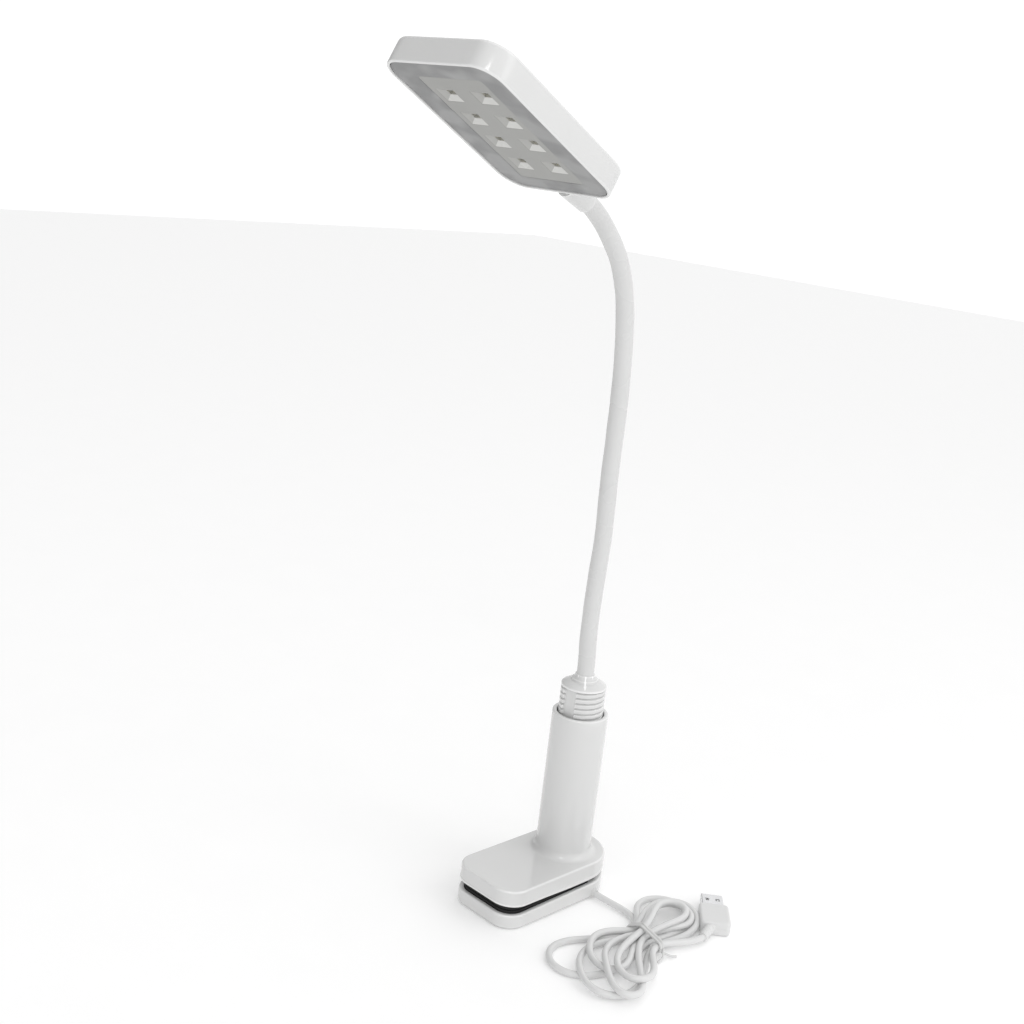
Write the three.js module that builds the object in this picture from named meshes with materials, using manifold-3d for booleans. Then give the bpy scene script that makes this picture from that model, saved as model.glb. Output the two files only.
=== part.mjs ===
// Clip-on reading lamp: sprung two-jaw clip with a tubular post, screw-in gooseneck,
// flat LED head, and a USB lead tied in a bundle.
// Millimetres, +Z up, +X towards the mouth of the jaws, origin under the post on the standing face.
import * as THREE from 'three';
import { mergeVertices } from 'three/addons/utils/BufferGeometryUtils.js';
import Module from 'manifold-3d';

const wasm = await Module();
wasm.setup();

// clip
const GAP = 0.3;
const JAW_HALF = 22.8;
const JAW_FRONT = 62.5;
const JAW_REAR_X = -1.5;
const JAW_CORNER = 12;
const SHELL_WALL = 2.2;
const LOWER_BOTTOM = 1.1;
const LOWER_TOP_REAR = 9.8;
const LOWER_TOP_FRONT = 8.4;
const LOWER_PAD_RISE = 1.7;
const REAR_STEP_TOP = 13.8;
const UPPER_BOTTOM = 14.1;
const UPPER_TOP = 22.4;
const HINGE_X = -17.5;
const HINGE_Z = 12.5;
const PIN_R = 1.5;
const PAD_INSET = 2.8;
// post and thread
const POST_R = 15.3;
const POST_TOP = 104.4;
const POST_BORE = 12.9;
const INSERT_BORE = 13.6;
const INSERT_R = 13.3;
const INSERT_LOW = 68;
const INSERT_HIGH = 96;
const THREAD_CREST = 12.3;
const THREAD_ROOT = 10.9;
const PITCH = 3;
const THREAD_LOW = 84;
const THREAD_HIGH = 119.4;
const HELIX_SIDES = 16;
const LAND_HALF = 10.7;
const LAND_WIDE = 4.1;
const LAND_TURN = 3;
// gooseneck
const NECK_R = 4.65;
const NECK_BORE = 3.3;
const CORE_R = 3;
const PIVOT_GAP = 1.7;
// head
const HEAD_LENGTH = 101;
const HEAD_HALF = 35.2;
const HEAD_THICK = 13;
const HEAD_CORNER = 12.5;
const HEAD_WALL = 1.5;
const HEAD_TILT = 28.5;
const HEAD_X = 61;
const HEAD_Z = 377.2;
const WELL_FIRST = 22.2;
const WELL_STEP = 17.75;
const WELL_Y = 10.9;
// lead
const CORD_R = 1.8;

const WHITE = { color: 0xf1f1ef, roughness: 0.32, metalness: 0 };
const WHITE_SOFT = { color: 0xeeeeec, roughness: 0.5, metalness: 0 };
const RUBBER = { color: 0x17181a, roughness: 0.8, metalness: 0 };
const STEEL = { color: 0xb9bcc0, roughness: 0.3, metalness: 1 };
const GREY = { color: 0xb8b9b9, roughness: 0.45, metalness: 0 };
const PANEL = { color: 0xcccccb, roughness: 0.4, metalness: 0 };
const BOARD = { color: 0xe6e7e4, roughness: 0.5, metalness: 0 };
const GREEN = { color: 0x2d6b45, roughness: 0.5, metalness: 0 };
const LED = { color: 0xf4e9a8, roughness: 0.3, metalness: 0 };
const BLACK = { color: 0x222326, roughness: 0.5, metalness: 0 };

const lamp = new THREE.Group();
lamp.name = 'clip_reading_lamp';

function add(name, shape, finish) {
  const mesh = new THREE.Mesh(surface(shape), new THREE.MeshStandardMaterial(finish));
  mesh.name = name;
  lamp.add(mesh);
  return mesh;
}

function closed(shape) {
  if (!shape.isBufferGeometry) {
    return shape;
  }
  const geometry = shape;
  const bare = new THREE.BufferGeometry();
  bare.setAttribute('position', geometry.getAttribute('position').clone());
  if (geometry.index) {
    bare.setIndex(geometry.index.clone());
  }
  const merged = mergeVertices(bare, 1e-4);
  const index = merged.index.array;
  const kept = [];
  for (let i = 0; i < index.length; i += 3) {
    const [a, b, c] = [index[i], index[i + 1], index[i + 2]];
    if (a !== b && b !== c && c !== a) {
      kept.push(a, b, c);
    }
  }
  return new wasm.Manifold(new wasm.Mesh({
    numProp: 3,
    vertProperties: new Float32Array(merged.getAttribute('position').array),
    triVerts: new Uint32Array(kept),
  }));
}

function surface(shape) {
  if (shape.isBufferGeometry) {
    return shape;
  }
  const mesh = shape.getMesh();
  const geometry = new THREE.BufferGeometry();
  const points = new Float32Array(mesh.numVert * 3);
  for (let i = 0; i < mesh.numVert; i += 1) {
    points[3 * i] = mesh.vertProperties[mesh.numProp * i];
    points[3 * i + 1] = mesh.vertProperties[mesh.numProp * i + 1];
    points[3 * i + 2] = mesh.vertProperties[mesh.numProp * i + 2];
  }
  geometry.setAttribute('position', new THREE.BufferAttribute(points, 3));
  geometry.setIndex(Array.from(mesh.triVerts));
  return geometry;
}

function cut(base, ...tools) {
  let solid = closed(base);
  for (const tool of tools) {
    solid = solid.subtract(closed(tool));
  }
  return solid;
}

function join(base, ...others) {
  let solid = closed(base);
  for (const other of others) {
    solid = solid.add(closed(other));
  }
  return solid;
}

function common(base, other) {
  return closed(base).intersect(closed(other));
}

function arc(points, cx, cy, r, from, to, steps) {
  for (let i = 0; i <= steps; i += 1) {
    const a = THREE.MathUtils.degToRad(from + ((to - from) * i) / steps);
    points.push(new THREE.Vector2(cx + r * Math.cos(a), cy + r * Math.sin(a)));
  }
}

function jawOutline(inset) {
  const points = [];
  const half = JAW_HALF - inset;
  const front = JAW_FRONT - inset;
  const r = JAW_CORNER - inset;
  arc(points, front - r, half - r, r, 0, 90, 6);
  arc(points, JAW_REAR_X, 0, half, 90, 270, 24);
  arc(points, front - r, r - half, r, 270, 360, 6);
  return new THREE.Shape(points);
}

function roundedOutline(x0, x1, y0, y1, r, steps = 5) {
  const points = [];
  arc(points, x1 - r, y1 - r, r, 0, 90, steps);
  arc(points, x0 + r, y1 - r, r, 90, 180, steps);
  arc(points, x0 + r, y0 + r, r, 180, 270, steps);
  arc(points, x1 - r, y0 + r, r, 270, 360, steps);
  return new THREE.Shape(points);
}

function prism(shape, low, high, edge = 0) {
  const geometry = new THREE.ExtrudeGeometry(shape, {
    depth: high - low - 2 * edge,
    bevelEnabled: edge > 0,
    bevelThickness: edge,
    bevelSize: edge,
    bevelOffset: -edge,
    bevelSegments: 2,
    curveSegments: 4,
  });
  return geometry.translate(0, 0, low + edge);
}

function sideways(corners, y0, y1) {
  const shape = new THREE.Shape(corners.map(([x, z]) => new THREE.Vector2(x, z)));
  const geometry = new THREE.ExtrudeGeometry(shape, { depth: y1 - y0, bevelEnabled: false });
  return geometry.rotateX(Math.PI / 2).translate(0, y1, 0);
}

function box(x0, x1, y0, y1, z0, z1) {
  return new THREE.BoxGeometry(x1 - x0, y1 - y0, z1 - z0)
    .translate((x0 + x1) / 2, (y0 + y1) / 2, (z0 + z1) / 2);
}

function turned(profile, sides = 32) {
  return new THREE.LatheGeometry(profile.map(([r, z]) => new THREE.Vector2(r, z)), sides)
    .rotateX(Math.PI / 2);
}

function rod(r, z0, z1, sides = 24) {
  return turned([[0, z0], [r, z0], [r, z1], [0, z1]], sides);
}

function ring(inner, outer, z0, z1, sides = 24) {
  return turned([[inner, z0], [outer, z0], [outer, z1], [inner, z1], [inner, z0]], sides);
}

function alongY(geometry, x, y, z) {
  return geometry.rotateX(-Math.PI / 2).translate(x, y, z);
}

function screw(headR, headHeight, shankR, length) {
  return turned([
    [0, 0.5], [0.9, 0.5], [0.9, 0], [headR, 0], [headR, headHeight],
    [shankR, headHeight], [shankR, length], [0, length + shankR],
  ], 12);
}

function helix(rRoot, rCrest, baseWidth, crestWidth, low, turns) {
  const steps = Math.round(turns * HELIX_SIDES);
  const points = [];
  const faces = [];
  for (let i = 0; i <= steps; i += 1) {
    const a = (2 * Math.PI * i) / HELIX_SIDES;
    const z = low + (PITCH * i) / HELIX_SIDES;
    const section = [
      [rRoot - 1, z - baseWidth / 2], [rRoot, z - baseWidth / 2], [rCrest, z - crestWidth / 2],
      [rCrest, z + crestWidth / 2], [rRoot, z + baseWidth / 2], [rRoot - 1, z + baseWidth / 2],
    ];
    for (const [r, h] of section) {
      points.push(r * Math.cos(a), r * Math.sin(a), h);
    }
  }
  const n = 6;
  for (let i = 0; i < steps; i += 1) {
    for (let k = 0; k < n; k += 1) {
      const a = i * n + k;
      const b = i * n + ((k + 1) % n);
      faces.push(a, a + n, b, b, a + n, b + n);
    }
  }
  for (let k = 1; k < n - 1; k += 1) {
    faces.push(0, k, k + 1);
    faces.push(steps * n, steps * n + k + 1, steps * n + k);
  }
  const geometry = new THREE.BufferGeometry();
  geometry.setAttribute('position', new THREE.Float32BufferAttribute(points, 3));
  geometry.setIndex(faces);
  return geometry;
}

// ---------------------------------------------------------------- lower jaw
const topSlope = (LOWER_TOP_FRONT - LOWER_TOP_REAR) / (JAW_FRONT - HINGE_X);
const lowerTop = (x) => LOWER_TOP_REAR + topSlope * (x - HINGE_X);
const meeting = (x) => lowerTop(x) + LOWER_PAD_RISE;
const rearX = JAW_REAR_X - JAW_HALF;

function above(height, x0 = -30, x1 = 70) {
  return sideways([[x0, height(x0)], [x1, height(x1)], [x1, 40], [x0, 40]], -40, 40);
}

function below(height, x0 = -30, x1 = 70) {
  return sideways([[x0, -10], [x1, -10], [x1, height(x1)], [x0, height(x0)]], -40, 40);
}

const padRear = -8;
const padOutline = roundedOutline(
  padRear, JAW_FRONT - PAD_INSET, PAD_INSET - JAW_HALF, JAW_HALF - PAD_INSET, JAW_CORNER - PAD_INSET,
);
const padSeat = roundedOutline(
  padRear - GAP, JAW_FRONT - PAD_INSET + GAP, PAD_INSET - JAW_HALF - GAP,
  JAW_HALF - PAD_INSET + GAP, JAW_CORNER - PAD_INSET + GAP,
);

const rearStep = cut(
  common(prism(jawOutline(PAD_INSET), 5, REAR_STEP_TOP), box(-30, padRear - 0.6, -30, 30, 0, 30)),
  sideways([[rearX - 1, 9.4], [HINGE_X + 0.5, 13.9], [HINGE_X + 0.5, 30], [rearX - 1, 30]], -30, 30),
);
const lowerBlock = join(
  cut(prism(jawOutline(0), LOWER_BOTTOM, LOWER_TOP_REAR + 2, 0.9), above(lowerTop)),
  rearStep,
);
const lowerHollow = common(
  prism(jawOutline(SHELL_WALL), 0, 30),
  below((x) => lowerTop(x) - 2.9),
);
const padSeatCut = common(prism(padSeat, 0, 30), above((x) => lowerTop(x) - 1));
const lugWindow = box(-23, -9.5, -6, 6, 0, 30);
const cordHole = alongY(rod(2.65, 0, 8, 16), -4.6, 18, 3.2);
let lowerShell = cut(lowerBlock, lowerHollow, padSeatCut, lugWindow, cordHole);
for (const side of [-1, 1]) {
  const ear = alongY(rod(3.4, 0, 3.2, 20), HINGE_X, side > 0 ? 6.3 : -9.5, HINGE_Z);
  const rib = box(HINGE_X - 2.5, HINGE_X + 7, side > 0 ? 6.3 : -9.5, side > 0 ? 9.5 : -6.3, 9.4, 12.6);
  lowerShell = join(lowerShell, ear, rib);
}
for (const [x, y] of [[52, 12], [52, -12]]) {
  lowerShell = join(lowerShell, rod(3, 2.7, 7, 16).translate(x, y, 0));
  lowerShell = cut(lowerShell, rod(1.25, 2, 6.4, 12).translate(x, y, 0));
}
lowerShell = cut(lowerShell, alongY(rod(PIN_R + 0.08, 0, 30, 24), HINGE_X, -15, HINGE_Z));
add('lower_jaw_shell', lowerShell, WHITE);

let basePlate = cut(
  prism(jawOutline(SHELL_WALL + GAP), LOWER_BOTTOM, 2.4),
  box(-8.4, -0.8, 17.6, 30, 0, 5),
);
for (const [x, y] of [[52, 12], [52, -12]]) {
  basePlate = cut(basePlate, rod(1.5, 0, 4, 12).translate(x, y, 0));
}
add('lower_jaw_base_plate', basePlate, WHITE_SOFT);
for (const [name, y] of [['base_screw_left', -12], ['base_screw_right', 12]]) {
  add(name, screw(1.3, 0.1, 1, 3.6).translate(52, y, 1.3), STEEL);
}

const frontFoot = cut(
  prism(roundedOutline(41, 61, -21.3, 21.3, 9.6), 0, LOWER_BOTTOM - GAP),
  box(47, 57, -8, 8, -1, 3),
);
add('front_foot', frontFoot, WHITE_SOFT);
add('rear_foot', rod(15, 0, LOWER_BOTTOM - GAP, 32), WHITE_SOFT);

const lowerPad = common(
  common(prism(padOutline, 0, 30), above((x) => lowerTop(x) - 1 + GAP)),
  below((x) => meeting(x) - GAP / 2),
);
add('lower_grip_pad', lowerPad, RUBBER);

add('hinge_pin', alongY(rod(PIN_R, 0, 20, 24), HINGE_X, -10, HINGE_Z), STEEL);

function springPath() {
  const points = [];
  const r = 2.7;
  points.push(new THREE.Vector3(HINGE_X + 20, -2, 5.2));
  points.push(new THREE.Vector3(HINGE_X + 10, -2, 5.3));
  points.push(new THREE.Vector3(HINGE_X + 6.5, -2, 5.9));
  const turns = 2.5;
  const steps = 25;
  for (let i = 0; i <= steps; i += 1) {
    const a = -Math.PI * 0.5 - (2 * Math.PI * turns * i) / steps;
    const y = -1.9 + (3.8 * i) / steps;
    points.push(new THREE.Vector3(HINGE_X + r * Math.cos(a), y, HINGE_Z + r * Math.sin(a)));
  }
  points.push(new THREE.Vector3(HINGE_X + 6, 2, 17.9));
  points.push(new THREE.Vector3(HINGE_X + 20, 2, 18.1));
  return new THREE.CatmullRomCurve3(points, false, 'centripetal');
}
const wire = new THREE.Shape();
wire.absarc(0, 0, 0.55, 0, 2 * Math.PI, false);
add('clip_spring', new THREE.ExtrudeGeometry(wire, {
  extrudePath: springPath(), steps: 60, curveSegments: 3,
}), STEEL);

// ---------------------------------------------------------------- upper jaw and post
const plate = cut(
  prism(jawOutline(0), UPPER_BOTTOM, UPPER_TOP, 1.2),
  sideways([[rearX - 1, 10], [HINGE_X, 10], [HINGE_X, 14.2], [rearX - 1, 17.2]], -30, 30),
);
const post = turned([
  [0, UPPER_TOP - 3], [18.4, UPPER_TOP - 3], [18.4, UPPER_TOP], [16.8, UPPER_TOP + 0.8],
  [15.8, UPPER_TOP + 2.4], [POST_R, UPPER_TOP + 5], [POST_R, POST_TOP - 0.6],
  [POST_R - 0.6, POST_TOP], [0, POST_TOP],
], 40);
const postBore = turned([
  [0, 10], [INSERT_BORE, 10], [INSERT_BORE, INSERT_HIGH + 0.6], [POST_BORE, INSERT_HIGH + 1.6],
  [POST_BORE, POST_TOP - 0.5], [POST_BORE + 0.5, POST_TOP + 0.1], [0, POST_TOP + 1],
], 40);
const upperHollow = prism(jawOutline(SHELL_WALL), 10, UPPER_TOP - 2.4);
const lugBlock = join(
  alongY(rod(3.9, 0, 11, 20), HINGE_X, -5.5, HINGE_Z),
  box(HINGE_X - 2.6, HINGE_X + 2.6, -5.5, 5.5, HINGE_Z, UPPER_TOP - 1),
);
const lugs = cut(lugBlock, box(-30, 0, -2.7, 2.7, 0, UPPER_TOP - 2.4));
let upperJaw = cut(join(plate, post), upperHollow, postBore);
upperJaw = join(upperJaw, common(lugs, prism(jawOutline(1), 0, UPPER_TOP - 1)));
for (const [x, y] of [[40, 14], [40, -14]]) {
  upperJaw = join(upperJaw, rod(3, 17.3, UPPER_TOP - 1.5, 16).translate(x, y, 0));
  upperJaw = cut(upperJaw, rod(1.25, 15, UPPER_TOP - 2.6, 12).translate(x, y, 0));
}
upperJaw = cut(
  upperJaw,
  alongY(rod(PIN_R + 0.08, 0, 30, 24), HINGE_X, -15, HINGE_Z),
  rod(INSERT_BORE, 10, 30, 40),
);
add('upper_jaw_and_post', upperJaw, WHITE);

let innerPlate = common(
  prism(jawOutline(SHELL_WALL + GAP), UPPER_BOTTOM, 17),
  box(-10.5, 70, -30, 30, 0, 30),
);
innerPlate = cut(innerPlate, common(prism(padSeat, 0, 30), below(() => UPPER_BOTTOM + 1)));
for (const [x, y] of [[40, 14], [40, -14]]) {
  innerPlate = cut(innerPlate, rod(1.5, 10, 20, 12).translate(x, y, 0));
}
innerPlate = cut(innerPlate, rod(3, 10, 30, 16));
add('upper_jaw_inner_plate', innerPlate, WHITE_SOFT);
for (const [name, y] of [['jaw_screw_left', -14], ['jaw_screw_right', 14]]) {
  add(name, screw(1.3, 0.1, 1, 3.1).translate(40, y, 15.3), STEEL);
}
const upperPad = common(
  common(prism(padOutline, 0, 30), above((x) => meeting(x) + GAP / 2)),
  below(() => UPPER_BOTTOM + 1 - GAP),
);
add('upper_grip_pad', upperPad, RUBBER);

const threadTurns = (THREAD_HIGH - THREAD_LOW) / PITCH;
const nutCut = join(
  rod(THREAD_ROOT + GAP, 50, 110, 32),
  helix(THREAD_ROOT + GAP, THREAD_CREST + GAP, 2.7, 2, THREAD_LOW - 6 * PITCH, 11),
);
add('thread_insert', cut(ring(8, INSERT_R, INSERT_LOW, INSERT_HIGH, 32), nutCut), WHITE_SOFT);

add('supply_lead', turned([
  [0, 36], [1.6, 36], [1.6, 78], [6, 78], [6, 82], [1.6, 82], [1.6, 112], [0, 112],
], 16), BLACK);

// ---------------------------------------------------------------- gooseneck
const route = [
  [0, 124], [0.4, 135], [1.4, 146], [1.7, 164], [1.1, 183], [0.2, 203], [0.8, 220], [1.5, 238],
  [1.6, 257], [1.8, 276], [2.8, 294], [4.7, 312], [8.6, 331], [16.2, 348], [27.6, 361.6],
  [35.2, 368.4], [43.2, 373.7], [52, 376.8],
];
const pivots = [2, 4, 6, 8, 10, 12, 14];
const spine = new THREE.CatmullRomCurve3(
  route.map(([x, z]) => new THREE.Vector3(x, 0, z)), false, 'centripetal',
);
const spineLength = spine.getLength();

function distanceTo(index) {
  const lengths = spine.getLengths(1700);
  return lengths[Math.round((1700 * index) / (route.length - 1))];
}

function stretch(from, to) {
  const steps = Math.max(2, Math.round((to - from) / 8));
  const points = [];
  for (let i = 0; i <= steps; i += 1) {
    points.push(spine.getPointAt((from + ((to - from) * i) / steps) / spineLength));
  }
  return { path: new THREE.CatmullRomCurve3(points), steps };
}

function along(shape, from, to) {
  const { path, steps } = stretch(from, to);
  return new THREE.ExtrudeGeometry(shape, { extrudePath: path, steps, curveSegments: 8 });
}

function disc(r, bore) {
  const shape = new THREE.Shape();
  shape.absarc(0, 0, r, 0, 2 * Math.PI, false);
  if (bore) {
    const hole = new THREE.Path();
    hole.absarc(0, 0, bore, 0, 2 * Math.PI, true);
    shape.holes.push(hole);
  }
  return shape;
}

const NECK_BASE = 2.3;
const neckEnd = distanceTo(16);
const joints = pivots.map(distanceTo);
const starts = [NECK_BASE, ...joints.map((s) => s + PIVOT_GAP)];
const ends = [...joints.map((s) => s - PIVOT_GAP), neckEnd];
for (let i = 0; i < starts.length; i += 1) {
  add(`neck_sleeve_${i + 1}`, along(disc(NECK_R, NECK_BORE), starts[i], ends[i]), WHITE_SOFT);
  add(`neck_core_${i + 1}`, along(disc(CORE_R), starts[i] - (i === 0 ? 1.5 : 0), ends[i]), STEEL);
}

const plugBody = turned([
  [0, THREAD_LOW - 1.5], [THREAD_ROOT - 0.8, THREAD_LOW - 1.5], [THREAD_ROOT, THREAD_LOW - 0.7],
  [THREAD_ROOT, 119.2], [THREAD_CREST, 119.2], [THREAD_CREST, 120.4], [8.6, 122.4], [7.2, 122.6],
  [7.2, 124], [5.6, 124.6], [5.6, 126], [0, 126],
], 32);
const threaded = join(plugBody, helix(THREAD_ROOT, THREAD_CREST, 2.1, 1.4, THREAD_LOW, threadTurns - 0.3));
const landTurn = THREE.MathUtils.degToRad(LAND_TURN);
const landOne = box(LAND_HALF, 20, -LAND_WIDE, LAND_WIDE, 60, 119).rotateZ(landTurn);
const landTwo = box(-20, -LAND_HALF, -LAND_WIDE, LAND_WIDE, 60, 119).rotateZ(landTurn);
add('neck_plug', cut(threaded, landOne, landTwo, rod(NECK_BORE + 0.1, 60, 140, 24)), WHITE);

// ---------------------------------------------------------------- head
function onHead(shape) {
  return surface(shape)
    .rotateY(-THREE.MathUtils.degToRad(HEAD_TILT))
    .translate(HEAD_X, 0, HEAD_Z);
}

function headOutline(inset) {
  return roundedOutline(
    inset, HEAD_LENGTH - inset, inset - HEAD_HALF, HEAD_HALF - inset, HEAD_CORNER - inset, 6,
  );
}

const wells = [];
for (let i = 0; i < 4; i += 1) {
  for (const side of [-1, 1]) {
    wells.push([WELL_FIRST + WELL_STEP * i, side * WELL_Y]);
  }
}

let cover = cut(
  prism(headOutline(0), 0, HEAD_THICK, 1.4),
  prism(headOutline(HEAD_WALL), -5, HEAD_THICK - HEAD_WALL),
);
for (const [x, y] of [[15, 27], [15, -27], [86, 27], [86, -27]]) {
  cover = join(cover, rod(2.4, 7.9, HEAD_THICK - 1, 12).translate(x, y, 0));
}
cover = cut(
  cover,
  rod(6.3, 5, 20, 24).translate(19, 0, 0),
  new THREE.CylinderGeometry(3.6, 3.6, 10, 24).rotateZ(Math.PI / 2).translate(0, 0, 4.9),
);
add('head_cover', onHead(cover), WHITE);

const frame = cut(
  prism(headOutline(HEAD_WALL + GAP), 0.7, 2.5),
  prism(roundedOutline(9.7, 88.9, -20.3, 20.3, 2.5), -5, 10),
);
add('diffuser_frame', onHead(frame), GREY);

let reflector = prism(roundedOutline(10, 88.6, -20, 20, 2.2), 0.9, 5.6);
for (const [x, y] of wells) {
  const well = new THREE.CylinderGeometry(7.6, 3.4, 4.8, 4, 1)
    .rotateY(Math.PI / 4).rotateX(-Math.PI / 2).scale(0.8, 1, 1).translate(x, y, 3.2);
  const seat = box(x - 2.3, x + 2.3, y - 2.3, y + 2.3, 4.6, 7);
  reflector = cut(reflector, well, seat);
}
add('reflector_panel', onHead(reflector), PANEL);

wells.forEach(([x, y], i) => {
  add(`led_${i + 1}`, onHead(box(x - 1.75, x + 1.75, y - 1.4, y + 1.4, 4.7, 5.6)), LED);
});
add('led_board', onHead(prism(roundedOutline(5, 96.5, -31.5, 31.5, 8), 5.9, 7.1)), BOARD);
add('driver_board', onHead(box(9, 39, -9, 9, 7.4, 8.3)), GREEN);
add('switch_body', onHead(box(16, 22, -3, 3, 8.6, 9.3)), BLACK);
add('power_button', onHead(turned([
  [0, 10], [7.2, 10], [7.2, 10.8], [6, 10.8], [6, 13.2], [5.6, 13.6], [0, 13.6],
], 24).translate(19, 0, 0)), WHITE_SOFT);

const seam = spine.getPointAt(neckEnd / spineLength);
const collarEnd = new THREE.Vector3(0, 0, 4.9)
  .applyAxisAngle(new THREE.Vector3(0, 1, 0), -THREE.MathUtils.degToRad(HEAD_TILT))
  .add(new THREE.Vector3(HEAD_X, 0, HEAD_Z));
const collarRun = collarEnd.clone().sub(seam);
const collarLength = collarRun.length();
const collar = turned([
  [0, 0.6], [NECK_R + 0.2, 0.6], [NECK_R + 0.9, 1.3], [5.9, collarLength - 1.2],
  [3.3, collarLength - 1.2], [3.3, collarLength + 1.4], [0, collarLength + 1.4],
], 28);
const collarTurn = new THREE.Quaternion()
  .setFromUnitVectors(new THREE.Vector3(0, 0, 1), collarRun.clone().normalize());
add('head_collar', collar.applyQuaternion(collarTurn).translate(seam.x, seam.y, seam.z), WHITE);

// ---------------------------------------------------------------- lead and plug
const gland = turned([
  [2.1, -4.8], [2.95, -4.8], [2.95, -3.7], [2.4, -3.7], [2.4, 0.3], [2.9, 0.3], [2.4, 1.6],
  [2.1, 1.6], [2.1, -4.8],
], 16);
add('cord_gland', alongY(gland, -4.6, 22.9, 3.2), WHITE_SOFT);

function cord(points, steps) {
  const path = new THREE.CatmullRomCurve3(points.map((p) => new THREE.Vector3(...p)));
  const shape = new THREE.Shape();
  shape.absarc(0, 0, CORD_R, 0, 2 * Math.PI, false);
  return new THREE.ExtrudeGeometry(shape, { extrudePath: path, steps, curveSegments: 4 });
}

add('cord_lead', cord([
  [-4.6, 18.5, 3.2], [-4.6, 24.5, 3.2], [-4.9, 30, 2.7], [-5.6, 38, 2], [-6.6, 46, 2], [-7.1, 50.5, 2],
], 8), WHITE_SOFT);

function lobe(points, cx, cy, long, wide, lean, from, to) {
  const turn = THREE.MathUtils.degToRad(lean);
  for (let i = 0; i <= 12; i += 1) {
    const a = THREE.MathUtils.degToRad(from + ((to - from) * i) / 12);
    const x = long * Math.cos(a);
    const y = wide * Math.sin(a);
    points.push(new THREE.Vector2(
      cx + x * Math.cos(turn) - y * Math.sin(turn),
      cy + x * Math.sin(turn) + y * Math.cos(turn),
    ));
  }
}

const bundleOutline = [];
lobe(bundleOutline, 37.5, 75, 28.5, 28.5, 15, -143, 137);
lobe(bundleOutline, -20, 62, 21, 15, 15, 35, 325);
const waistGroove = cut(box(3.1, 5.5, 40, 100, -1, 30), box(0, 10, 60.3, 75.7, 1.3, 12));
add('cord_bundle', cut(prism(new THREE.Shape(bundleOutline), 0.2, 11, 1.5), waistGroove), WHITE_SOFT);
add('twist_tie', cut(box(3.4, 5.2, 59, 77, 0.2, 12.5), box(0, 10, 60, 76, 1, 11.4)), WHITE_SOFT);

add('cord_tail', cord([
  [-12.5, 80, 2], [-19, 85, 2], [-24, 87.5, 2.6], [-29.2, 87.6, 3.6],
], 6), WHITE_SOFT);

const PLUG_HEADING = 222;
const PLUG_X = -31.5;
const PLUG_Y = 87;
function onPlug(shape) {
  return surface(shape)
    .rotateZ(THREE.MathUtils.degToRad(PLUG_HEADING))
    .translate(PLUG_X, PLUG_Y, 0);
}
add('usb_overmould', onPlug(prism(roundedOutline(0, 20.5, -8.2, 8.2, 2.5), 0.2, 8, 1)), WHITE_SOFT);
const usbShell = cut(box(20.8, 32.6, -6, 6, 1.9, 6.4), box(21.3, 40, -5.7, 5.7, 2.2, 6.1));
add('usb_shell', onPlug(usbShell), STEEL);
add('usb_tongue', onPlug(box(21.6, 32, -5.4, 5.4, 2.5, 4.2)), WHITE_SOFT);

export default lamp;
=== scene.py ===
"""Clip-on reading lamp, visual model: jaws and post, screw-in gooseneck, LED head, tied USB lead."""

import math

import bmesh
import bpy
import numpy as np
from mathutils import Matrix, Vector


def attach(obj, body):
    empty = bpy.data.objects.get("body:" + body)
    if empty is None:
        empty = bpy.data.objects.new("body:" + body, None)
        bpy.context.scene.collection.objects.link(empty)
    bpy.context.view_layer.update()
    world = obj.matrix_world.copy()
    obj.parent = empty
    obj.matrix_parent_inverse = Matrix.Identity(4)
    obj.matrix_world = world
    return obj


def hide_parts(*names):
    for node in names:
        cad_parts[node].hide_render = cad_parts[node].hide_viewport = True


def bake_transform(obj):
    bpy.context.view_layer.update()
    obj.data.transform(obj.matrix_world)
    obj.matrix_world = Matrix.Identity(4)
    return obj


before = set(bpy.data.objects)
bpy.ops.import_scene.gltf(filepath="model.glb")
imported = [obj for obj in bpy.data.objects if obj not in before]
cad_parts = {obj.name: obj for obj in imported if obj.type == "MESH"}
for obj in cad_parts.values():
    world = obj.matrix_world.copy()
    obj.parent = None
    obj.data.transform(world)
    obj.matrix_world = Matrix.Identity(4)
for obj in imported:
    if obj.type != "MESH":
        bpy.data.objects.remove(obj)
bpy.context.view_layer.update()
MM = 0.001

# ---- driving sizes, in millimetres
JAW_HALF = 22.8
JAW_FRONT = 62.5
JAW_REAR_X = -1.5
JAW_CORNER = 12.0
LOWER_TOP_REAR = 9.8
LOWER_TOP_FRONT = 8.4
LOWER_PAD_RISE = 1.7
UPPER_BOTTOM = 14.1
UPPER_TOP = 22.4
HINGE_X = -17.5
HINGE_Z = 12.5
PAD_REAR = -8.0
PAD_INSET = 2.8
STEP_TOP = 13.75
STEP_FALL = 0.54
SKIRT_TOP = 14.6
POST_R = 15.3
POST_TOP = 104.4
POST_BORE = 12.9
INSERT_BORE = 13.6
FLARE_R = 18.9
FLARE_HEIGHT = 4.4
THREAD_CREST = 12.3
THREAD_ROOT = 10.9
PITCH = 3.0
THREAD_LOW = 84.0
LAND_HALF = 10.7
LAND_WIDE = 4.1
LAND_TURN = 3.0
NECK_R = 4.65
HEAD_LENGTH = 101.0
HEAD_HALF = 35.2
HEAD_THICK = 13.0
HEAD_CORNER = 12.5
HEAD_TILT = 28.5
HEAD_X = 61.0
HEAD_Z = 377.2
WELL_XS = [22.2 + 17.75 * i for i in range(4)]
WELL_YS = [-10.9, 10.9]
BUTTON_X = 19.0
CORD_D = 3.6
CORD_EXIT = (-4.6, 24.5, 3.2)
GLAND_AT = (-4.6, 22.9, 3.2)
PLUG_AT = (-31.5, 87.0)
PLUG_HEADING = 222.0


# ---- shape tools
CREASE = 38


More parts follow.
